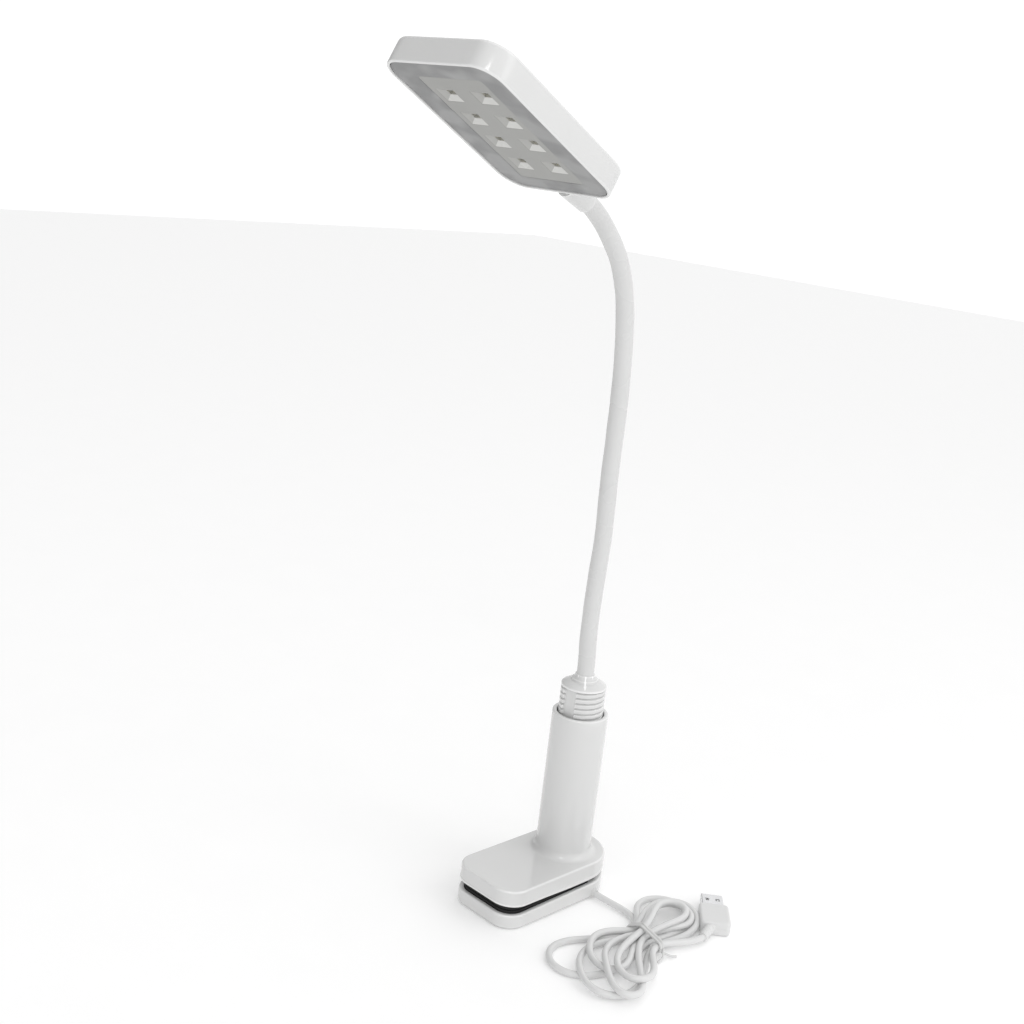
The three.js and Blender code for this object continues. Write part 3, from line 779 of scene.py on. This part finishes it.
def make_overmould():
    """The plug's moulded grip, with a crowned top and a raised rear neck."""
    def outline(inset):
        return rounded(inset, 20.5 - inset, inset - 8.2, 8.2 - inset, 2.5 - min(inset, 2.2), 8, 5)
    profile = [
        (2.2, 0.2), (1.0, 0.2), (0.45, 0.35), (0.12, 0.75), (0, 1.4), (0, 3.95), (0.12, 4.1), (0, 4.25),
        (0, 6.7), (0.12, 7.3), (0.45, 7.75), (1.0, 8.0), (1.6, 8.05), (2.2, 8.05),
    ]
    body = skin("usb_grip", slab(outline, profile))
    place(outward(body), on_plug())
    entry = lead_line[-1]
    t = np.linspace(0, 1, 40)
    back = lead_line[-7]
    line = entry + (back - entry) * t[:, None]
    line[:, 2] = np.maximum(line[:, 2], 2.9)
    ribs = 2.95 - 0.75 * t + 0.22 * np.cos(t * 2 * math.pi * 4)
    neck = tube("usb_neck", line, ribs, 32)
    start = tube("usb_root", np.array([entry + (entry - back) * s for s in (0.45, 0.0)]), [3.2, 3.15], 32)
    return join_pieces("usb_grip", [body, outward(neck), outward(start)])


grip = make_overmould()
dress(grip, "cord_white", "lower_jaw", ("usb_overmould",))


def make_usb_shell():
    """A sheet sleeve with two latch holes in its top and bottom."""
    def ring(inset, x):
        points = rounded(-6 + inset, 6 - inset, 1.9 + inset, 6.4 - inset, 0.7 - inset, 6, 3)
        return np.column_stack([np.full(len(points), x), points[:, 0], points[:, 1]])
    profile = (
        (0.0, 20.6), (0.0, 32.2), (0.08, 32.45), (0.16, 32.55), (0.26, 32.5), (0.32, 32.3), (0.32, 20.6),
    )
    shell = outward(skin("usb_sleeve", [ring(inset, x) for inset, x in profile], wrap=True))
    for y in (-2.9, 2.9):
        box = rounded(25.6, 28.0, y - 1.15, y + 1.15, 0.3, 4)
        cut_away(shell, outward(skin("tool", [raise_to(box, -1), raise_to(box, 9)])))
    return place(shell, on_plug())


usb_shell = make_usb_shell()
dress(usb_shell, "nickel", "lower_jaw", ("usb_shell",))


def make_usb_tongue():
    """The plastic tongue that carries the contact strips."""
    def outline(inset):
        return rounded(21.6, 31.9 - inset, inset - 5.3, 5.3 - inset, 0.5, 5)
    profile = [(0.3, 2.5), (0.05, 2.6), (0, 2.9), (0, 3.9), (0.05, 4.1), (0.3, 4.2)]
    return place(outward(skin("usb_tongue_body", slab(outline, profile))), on_plug())


tongue = make_usb_tongue()
dress(tongue, "soft_white", "lower_jaw", ("usb_tongue",))


def make_contacts():
    """Four contact strips, the outer two longer."""
    strips = []
    for y, length in ((-3.5, 7.4), (-1.0, 6.4), (1.0, 6.4), (3.5, 7.4)):
        outline = rounded(31.2 - length, 31.2, y - 0.5, y + 0.5, 0.3, 4)
        strips.append(outward(skin("strip", [raise_to(outline, z) for z in (4.1, 4.28)])))
    return place(soften(join_pieces("usb_contacts", strips), 0.04), on_plug())


contacts = make_contacts()
dress(contacts, "nickel", "lower_jaw")


# ---- lower jaw
def lower_top(x):
    """The lower jaw's top slopes down towards its mouth."""
    slope = (LOWER_TOP_FRONT - LOWER_TOP_REAR) / (JAW_FRONT - HINGE_X)
    return LOWER_TOP_REAR + slope * (x - HINGE_X)


def rear_step_top(x):
    """The raised step behind the pads falls away to the rear, where the upper jaw swings down."""
    return STEP_TOP - max(0.0, HINGE_X - x) * STEP_FALL


def make_lower_jaw():
    """A shallow tray open underneath, with a rim round the pad and the raised step behind it."""
    outside = [(2.2, 1.4), (2.1, 1.15), (1.4, 1.1), (0.8, 1.12), (0.3, 1.35), (0.05, 1.8), (0, 2.3)]
    rings = [raise_to(jaw_outline(inset), z) for inset, z in outside]
    rim = (
        (0, 1.3), (0.06, 0.8), (0.25, 0.38), (0.6, 0.1), (1.0, 0.0), (1.5, 0.0), (2.35, 0.0), (2.48, 0.08),
        (2.5, 0.9), (2.5, 1.0), (6.0, 1.0), (6.0, 2.9), (2.2, 2.9),
    )
    rings += [raise_to(jaw_outline(inset), lambda x, d=drop: lower_top(x) - d) for inset, drop in rim]
    rings.append(raise_to(jaw_outline(2.2), 3.0))
    shell = outward(skin("lower_jaw_body", rings, wrap=True))
    edge = jaw_outline(PAD_INSET)
    back = edge[edge[:, 0] < PAD_REAR - 0.6]
    back = np.vstack([[PAD_REAR - 0.6, back[0, 1]], back, [PAD_REAR - 0.6, back[-1, 1]]])
    middle = back.mean(0)
    step_rings = [raise_to(back, 7.5)]
    for inset, drop in ((0.0, 0.7), (0.1, 0.3), (0.35, 0.08), (0.7, 0.0), (6.0, 0.0)):
        away = back - middle
        reach = np.linalg.norm(away, axis=1)[:, None]
        shrunk = middle + away * (1 - inset / reach)
        step_rings.append(raise_to(shrunk, lambda x, d=drop: rear_step_top(x) - d))
    step_rings.append(step_rings[-1] * (1, 1, 0) + (0, 0, 7.5))
    step = outward(skin("rear_step", step_rings, wrap=True))
    return join_pieces("lower_jaw_body", [shell, step])


lower_jaw = make_lower_jaw()
dress(lower_jaw, "gloss_white", "lower_jaw", ("lower_jaw_shell",))


# ---- upper jaw and post
def skirt_drop(x):
    """How much lower the upper jaw's edge hangs beside the pads; the gap narrows to the rear."""
    return float(np.interp(x, (-17.0, 2.0, 16.0, 36.0, 56.0, 63.0), (0.0, 1.2, 1.2, 0.6, 0.3, 0.2)))


def skirted(z):
    """A ring's height, lowered along the skirt if it belongs to the skirt."""
    return (lambda x: z - skirt_drop(x)) if z < SKIRT_TOP else z


def make_upper_jaw():
    """The upper jaw's cover and the post as one skin, open underneath and bored for the plug."""
    outside = [
        (2.2, 20.2), (2.2, 14.4), (2.1, 14.0), (1.8, 13.85), (1.3, 13.8), (0.45, 13.8), (0.14, 13.9),
        (0, 14.12), (0, 14.7), (0.05, 14.9), (0.16, 15.02), (0.18, 15.3), (0.18, 21.2), (0.26, 21.7),
        (0.5, 22.12), (0.85, 22.34), (1.3, 22.4), (1.7, 22.4),
    ]
    rings = [raise_to(jaw_outline(inset), skirted(z)) for inset, z in outside]
    edge = jaw_outline(1.7)
    bearing = np.arctan2(edge[:, 1], edge[:, 0])

    def around(r, z):
        return np.column_stack([r * np.cos(bearing), r * np.sin(bearing), np.full(len(bearing), z)])
    foot = around(FLARE_R, UPPER_TOP)
    rings += [rings[-1] * (1 - k) + foot * k for k in (0.25, 0.6, 0.93)]
    for a in np.radians(np.linspace(0, 90, 12)):
        rise = UPPER_TOP + FLARE_HEIGHT * (1 - math.cos(a))
        rings.append(around(FLARE_R - (FLARE_R - POST_R) * math.sin(a), rise))
    for z in (40, 60, 80, 98):
        rings.append(around(POST_R, z))
    lip = (
        (15.3, 0.75), (15.2, 0.35), (14.95, 0.1), (14.6, 0), (13.6, 0), (13.25, 0.08), (13.0, 0.3),
        (12.9, 0.7),
    )
    rings += [around(r, POST_TOP - drop) for r, drop in lip]
    rings += [around(POST_BORE, 97.6), around(INSERT_BORE, 96.6), around(INSERT_BORE, 20.2)]
    return outward(skin("upper_jaw_body", rings, wrap=True))


upper_jaw = make_upper_jaw()
dress(upper_jaw, "gloss_white", "upper_jaw", ("upper_jaw_and_post",))


# ---- pads
def meeting(x):
    """The plane where the two pads meet."""
    return lower_top(x) + LOWER_PAD_RISE


def pad_outline(inset):
    front = JAW_FRONT - PAD_INSET - inset
    half = JAW_HALF - PAD_INSET - inset
    return rounded(PAD_REAR + inset, front, -half, half, JAW_CORNER - PAD_INSET - inset, 12, 6)


def make_pad(name, face, back, side):
    """A rubber pad with a crowned edge on its gripping face."""
    profile = [(1.0, 0.0), (0.35, 0.05), (0.08, 0.22), (0.0, 0.55)]
    rings = [raise_to(pad_outline(inset), lambda x, d=d: face(x) + side * d) for inset, d in profile]
    rings.append(raise_to(pad_outline(0.0), back))
    return outward(skin(name, rings))


lower_pad = make_pad("lower_pad", lambda x: meeting(x) - 0.15, lambda x: lower_top(x) - 0.7, -1)
dress(lower_pad, "black_rubber", "lower_jaw", ("lower_grip_pad",))
upper_pad = make_pad("upper_pad", lambda x: meeting(x) + 0.15, lambda x: UPPER_BOTTOM + 0.7, 1)
dress(upper_pad, "black_rubber", "upper_jaw", ("upper_grip_pad",))


def make_spring():
    """The torsion spring wound round the hinge pin, with one arm in each jaw."""
    coil_r, steps = 2.7, 25
    points = [(HINGE_X + 20, -2, 5.2), (HINGE_X + 10, -2, 5.3), (HINGE_X + 6.5, -2, 5.9)]
    for i in range(steps + 1):
        a = -math.pi / 2 - 5 * math.pi * i / steps
        y = -1.9 + 3.8 * i / steps
        points.append((HINGE_X + coil_r * math.cos(a), y, HINGE_Z + coil_r * math.sin(a)))
    points += [(HINGE_X + 6, 2, 17.9), (HINGE_X + 20, 2, 18.1)]
    line = evenly(smooth_line(points, 8), 0.4)
    return outward(tube("spring_wire", line, np.full(len(line), 0.55), 14))


spring = make_spring()
dress(spring, "steel", None, ("clip_spring",))
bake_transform(spring)


# ---- screw-in plug
def make_plug():
    """The neck's threaded end: broad round ridges, two bare lands down its sides, a stepped shoulder."""
    shoulder = [
        (119.3, 12.2), (119.4, 12.3), (120.2, 12.3), (120.45, 12.15), (120.7, 11.8), (121.4, 10.6),
        (122.1, 9.2), (122.4, 8.5), (122.5, 7.6), (122.65, 7.25), (122.9, 7.15),
        (123.6, 7.1), (123.9, 6.9), (124.1, 6.4),
        (124.3, 5.9), (124.8, 5.6), (126.0, 5.5), (126.2, 5.3), (126.25, 4.8), (126.25, 3.5),
    ]
    sides, thread_end = 180, 119.2
    angles = np.linspace(0, 2 * math.pi, sides, endpoint=False)
    forward = np.abs(np.cos(angles - math.radians(LAND_TURN)))
    sideways = np.abs(np.sin(angles - math.radians(LAND_TURN)))
    land = np.minimum(LAND_HALF / np.maximum(forward, 0.05), THREAD_ROOT)

    def ridged(z):
        turns = (z - THREAD_LOW) / PITCH - angles / (2 * math.pi)
        off = np.abs((turns + 0.5) % 1.0 - 0.5)
        rise = np.clip((0.46 - off) / 0.2, 0, 1)
        rise = rise * rise * (3 - 2 * rise)
        fade = min(1.0, (z - THREAD_LOW) / 1.5)
        return THREAD_ROOT + 0.1 + (THREAD_CREST - THREAD_ROOT - 0.15) * rise * fade - 0.12 * off

    def ring(r, z):
        r = np.full(sides, 1.0) * r
        if z < thread_end:
            edge = np.clip((LAND_WIDE + 0.15 - sideways * r) / 0.3, 0, 1)
            r = np.where(forward > 0.7, r + (np.minimum(r, land) - r) * edge, r)
        return np.column_stack([r * np.cos(angles), r * np.sin(angles), np.full(sides, z)])

    tip = ((3.6, 1.5), (THREAD_ROOT - 0.8, 1.5), (THREAD_ROOT, 0.7))
    rings = [ring(r, THREAD_LOW - below) for r, below in tip]
    rings += [ring(ridged(z), z) for z in np.arange(THREAD_LOW, thread_end, 0.2)]
    rings += [ring(r, z) for z, r in shoulder]
    return outward(skin("plug_body", rings, wrap=True, crease=48))


plug = make_plug()
dress(plug, "gloss_white", "neck_base", ("neck_plug",))


# ---- gooseneck
NECK_ROUTE = (
    (0, 124), (0.4, 135), (1.4, 146), (1.7, 164), (1.1, 183), (0.2, 203), (0.8, 220), (1.5, 238), (1.6, 257),
    (1.8, 276), (2.8, 294), (4.7, 312), (8.6, 331), (16.2, 348), (27.6, 361.6), (35.2, 368.4),
    (43.2, 373.7), (52, 376.8),
)
NECK_SPAN = 40
NECK_PIVOTS = (2, 4, 6, 8, 10, 12, 14)
NECK_END = 16
SPINE = smooth_line([(x, 0, z) for x, z in NECK_ROUTE], NECK_SPAN)
SPINE_AT = np.concatenate([[0], np.cumsum(np.linalg.norm(np.diff(SPINE, axis=0), axis=1))])


def spine_distance(index):
    return SPINE_AT[NECK_SPAN * index]


def spine_between(low, high, step):
    at = np.linspace(low, high, max(3, int(round((high - low) / step)) + 1))
    return at, np.stack([np.interp(at, SPINE_AT, SPINE[:, k]) for k in range(3)], 1)


def planar_tube(name, line, radii, sides=40):
    """A tube along a line that stays in the X and Z plane, so that neighbouring lengths match."""
    tangents = np.gradient(line, axis=0)
    tangents /= np.linalg.norm(tangents, axis=1)[:, None]
    across = np.array([0.0, 1.0, 0.0])
    angles = np.linspace(0, 2 * math.pi, sides, endpoint=False)
    rings = []
    for p, t, r in zip(line, tangents, radii):
        other = np.cross(t, across)
        rings.append(p + np.outer(r * np.cos(angles), across) + np.outer(r * np.sin(angles), other))
    return skin(name, rings, caps=(False, False))


def sleeve_radius(at):
    """The sleeve's skin is drawn tight over the wound core, so it swells and thins very slightly."""
    return NECK_R + 0.045 * np.sin(at / 7.3) + 0.035 * np.sin(at / 3.1 + 1.0)


def make_neck():
    """The sleeve in seven lengths, each bending smoothly where one hinge of the core lies."""
    pivots = [spine_distance(i) for i in NECK_PIVOTS]
    end = spine_distance(NECK_END)
    cuts = [1.9] + [(a + b) / 2 for a, b in zip(pivots[:-1], pivots[1:])] + [end + 1.4]
    for i, pivot in enumerate(pivots):
        at, line = spine_between(cuts[i], cuts[i + 1], 1.4)
        piece = planar_tube(f"neck_skin_{i + 1}", line, sleeve_radius(at))
        nodes = [f"neck_sleeve_{i + 1}"] + ([f"neck_sleeve_{i + 2}"] if i == len(pivots) - 1 else [])
        dress(piece, "neck_white", None, nodes)
        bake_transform(piece)


make_neck()


# ---- head
def head_outline(inset, sides=10):
    far = HEAD_LENGTH - inset
    half = HEAD_HALF - inset
    return rounded(inset, far, -half, half, max(HEAD_CORNER - inset, 0.4), 14, sides)


def make_head_cover():
    """An open tray: crowned edges, a thin rim standing round the diffuser, and a hole for the button."""
    profile = [
        (1.5, 10.8), (1.5, 2.4), (1.48, 0.5), (1.38, 0.16), (1.2, 0.03), (0.95, 0.0), (0.5, 0.06),
        (0.18, 0.28), (0.03, 0.7), (0, 1.2), (0, 6.0), (0, 11.0), (0.12, 11.75), (0.45, 12.4),
        (0.95, 12.82), (1.5, 12.97),
        (2.2, 13.0), (2.8, 13.0),
    ]
    rings = [raise_to(head_outline(inset), z) for inset, z in profile]
    edge = head_outline(2.8)
    middle = np.array([BUTTON_X, 0.0])
    bearing = np.arctan2(edge[:, 1] - middle[1], edge[:, 0] - middle[0])

    def hole(r, z):
        return np.column_stack([middle[0] + r * np.cos(bearing), r * np.sin(bearing), np.full(len(edge), z)])
    rings += [rings[-1] * 0.5 + hole(7.4, HEAD_THICK) * 0.5, hole(7.4, HEAD_THICK), hole(6.6, HEAD_THICK)]
    rings += [hole(6.38, 12.9), hole(6.3, 12.7), hole(6.3, 11.0), hole(7.4, 10.8)]
    return place(outward(skin("head_shell", rings, wrap=True)), on_head())


head_cover = make_head_cover()
dress(head_cover, "gloss_white", "head", ("head_cover",))


def panel_outline(inset):
    return rounded(9.85 + inset, 88.75 - inset, inset - 20.15, 20.15 - inset, 2.4 - min(inset, 2.0), 6, 10)


def bridge(inner, outer):
    """The inner outline again, with one point on the bearing of each point of the outer one."""
    middle = inner.mean(0)
    bearing = np.arctan2(*(outer - middle).T[::-1])
    own = np.arctan2(*(inner - middle).T[::-1])
    order = np.argsort(own)
    wrapped = np.concatenate([own[order] - 2 * math.pi, own[order], own[order] + 2 * math.pi])
    return np.stack([np.interp(bearing, wrapped, np.tile(inner[order, k], 3)) for k in range(2)], 1)


def make_diffuser():
    """The frosted sheet round the reflector, level with the rim, with a soft step down to the reflector."""
    outer = head_outline(1.65)
    inner = bridge(panel_outline(-0.02), outer)
    rings = [raise_to(outer, z) for z in (2.5, 0.95)]
    rings += [raise_to(head_outline(1.75), 0.78), raise_to(head_outline(1.95), 0.7)]
    for k in (0.1, 0.35, 0.7, 0.93):
        rings.append(raise_to(head_outline(1.95) * (1 - k) + inner * k, 0.7))
    rings += [raise_to(inner, z) for z in (0.93, 1.0, 2.5)]
    return place(outward(skin("diffuser_sheet", rings, wrap=True)), on_head())


diffuser = make_diffuser()
dress(diffuser, "frosted_grey", "head", ("diffuser_frame",))


def well_at(x, y):
    """The centre of the well whose mouth the point is in the middle of, if any."""
    centres = [(wx, wy) for wx in WELL_XS for wy in WELL_YS]
    return next((c for c in centres if abs(x - c[0]) < 1 and abs(y - c[1]) < 1), None)


def make_reflector():
    """The inner panel with eight shallow four-sided funnels, one over each LED."""
    mouth_x, mouth_y, seat_x, seat_y = 4.7, 5.6, 1.5, 2.2
    face, seat, shaft = 0.95, 2.55, 4.5
    steps = ((mouth_x - 0.2, mouth_y - 0.2, face + 0.12), (seat_x, seat_y, seat), (seat_x, seat_y, shaft))
    panel = panel_outline(0.0)
    x0, y0 = panel.min(0)
    x1, y1 = panel.max(0)
    xs = sorted([x0, x1] + [x + d for x in WELL_XS for d in (-mouth_x, mouth_x)])
    ys = sorted([y0, y1] + [y + d for y in WELL_YS for d in (-mouth_y, mouth_y)])
    work = bmesh.new()
    grid = [[work.verts.new((x * MM, y * MM, face * MM)) for y in ys] for x in xs]
    for i in range(len(xs) - 1):
        for j in range(len(ys) - 1):
            corners = (grid[i][j], grid[i + 1][j], grid[i + 1][j + 1], grid[i][j + 1])
            well = well_at((xs[i] + xs[i + 1]) / 2, (ys[j] + ys[j + 1]) / 2)
            if well is None:
                work.faces.new(corners)
                continue
            previous = corners
            for wide, deep, height in steps:
                ring = [
                    work.verts.new(((well[0] + a * wide) * MM, (well[1] + b * deep) * MM, height * MM))
                    for a, b in ((-1, -1), (1, -1), (1, 1), (-1, 1))
                ]
                for k in range(4):
                    m = (k + 1) % 4
                    facet = work.faces.new((previous[k], previous[m], ring[m], ring[k]))
                    # Painted light in each well: the -x facet gets the painted highlight copy, the -y facet
                    # the paler painted-light copy, and the shaft walls their own paler copy; the rest keep
                    # the panel colour.
                    facet.material_index = {shaft: 2, seat: (3, 0, 0, 1)[k]}.get(height, 0)
                previous = ring
    rim = [v for row in grid for v in row if v.is_boundary]
    edges = [e for e in work.edges if e.is_boundary and all(v in rim for v in e.verts)]
    lifted = bmesh.ops.extrude_edge_only(work, edges=edges)["geom"]
    for v in lifted:
        if isinstance(v, bmesh.types.BMVert):
            v.co.z = 5.6 * MM
    mesh = bpy.data.meshes.new("reflector")
    for finish in ("panel_grey", "facet_painted_light", "shaft_painted_light", "facet_painted_half_light"):
        mesh.materials.append(FINISH[finish])
    work.to_mesh(mesh)
    work.free()
    piece = bpy.data.objects.new("reflector", mesh)
    bpy.context.scene.collection.objects.link(piece)
    mesh.shade_smooth()
    mesh.set_sharp_from_angle(angle=math.radians(20))
    for polygon in mesh.polygons:
        polygon.flip()
    soften(piece, 0.22, 2, 25)
    return place(piece, on_head())


reflector = make_reflector()
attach(reflector, "head")
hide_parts("reflector_panel")


def make_leds():
    """Eight chips: a white cup with a yellow lens of phosphor in it."""
    cup_profile = (
        (1.75, 1.4, 5.6), (1.75, 1.4, 4.72), (1.7, 1.35, 4.7), (1.4, 1.1, 4.7), (1.3, 1.0, 4.95),
    )
    lens_profile = ((1.3, 1.0, 4.93), (1.2, 0.9, 4.84), (0.8, 0.6, 4.78), (0.3, 0.25, 4.76))
    for i, (x, y) in enumerate([(x, y) for x in WELL_XS for y in WELL_YS]):
        cup = skin("cup", [
            raise_to(rounded(x - a, x + a, y - b, y + b, 0.25, 4), z) for a, b, z in cup_profile
        ])
        lens = skin("lens", [
            raise_to(rounded(x - a, x + a, y - b, y + b, min(0.2, b * 0.9), 4), z) for a, b, z in lens_profile
        ])
        dress(outward(cup), "board_white")
        dress(outward(lens), "led_yellow")
        chip = join_pieces(f"led_chip_{i + 1}", [cup, lens])
        place(chip, on_head())
        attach(chip, "head")
        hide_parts(f"led_{i + 1}")


make_leds()


def make_button():
    """A round push button with a dished top, held by a flange inside the cover."""
    profile = [
        (0.01, 10.0), (7.0, 10.0), (7.2, 10.15), (7.2, 10.65), (7.0, 10.8), (6.05, 10.85), (6.0, 11.0),
        (6.0, 13.05), (5.9, 13.35), (5.65, 13.55), (5.3, 13.6), (4.7, 13.52), (3.2, 13.3),
        (1.6, 13.2), (0.01, 13.17),
    ]
    rings = [circle(r, z, 56, (BUTTON_X, 0.0)) for r, z in profile]
    return place(outward(skin("button_cap", rings)), on_head())


button = make_button()
dress(button, "soft_white", "button", ("power_button",))


def make_collar():
    """The stepped, slowly widening sleeve that joins the neck to the head's edge."""
    start = SPINE[NECK_SPAN * NECK_END]
    into = on_head() @ (Vector((0, 0, 4.9)) * MM)
    end = np.array(into) / MM
    run = end - start
    length = np.linalg.norm(run)
    ahead = run / length
    side = np.array([0.0, 1.0, 0.0])
    other = np.cross(ahead, side)
    profile = [
        (0.55, 4.0), (0.55, 4.85), (0.6, 5.0), (0.72, 5.12), (1.0, 5.3), (1.4, 5.42), (5.0, 5.55),
        (10.0, 5.72), (length - 1.0, 5.85), (length - 0.5, 5.85), (length - 0.4, 5.6), (length - 0.4, 3.3),
        (length + 1.3, 3.3),
    ]
    angles = np.linspace(0, 2 * math.pi, 56, endpoint=False)

    def ring(d, r):
        return start + ahead * d + np.outer(r * np.cos(angles), side) + np.outer(r * np.sin(angles), other)
    return outward(skin("collar_sleeve", [ring(d, r) for d, r in profile]))


collar = make_collar()
dress(collar, "gloss_white", "head", ("head_collar",))


# ---- CAD nodes that keep their shape
CARRIED = {
    "lower_jaw_base_plate": "soft_white",
    "front_foot": "soft_white",
    "rear_foot": "soft_white",
    "upper_jaw_inner_plate": "soft_white",
    "thread_insert": "soft_white",
    "base_screw_left": "steel",
    "base_screw_right": "steel",
    "jaw_screw_left": "steel",
    "jaw_screw_right": "steel",
    "hinge_pin": "steel",
    "supply_lead": "black_plastic",
    "led_board": "board_white",
    "driver_board": "board_green",
    "switch_body": "black_plastic",
}
CARRIED.update({f"neck_core_{i}": "wound_wire" for i in range(1, 9)})


def dress_carried():
    for name, finish in CARRIED.items():
        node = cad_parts[name]
        node.data.materials.clear()
        node.data.materials.append(FINISH[finish])
        node.data.shade_smooth()
        node.data.set_sharp_from_angle(angle=math.radians(34))


dress_carried()
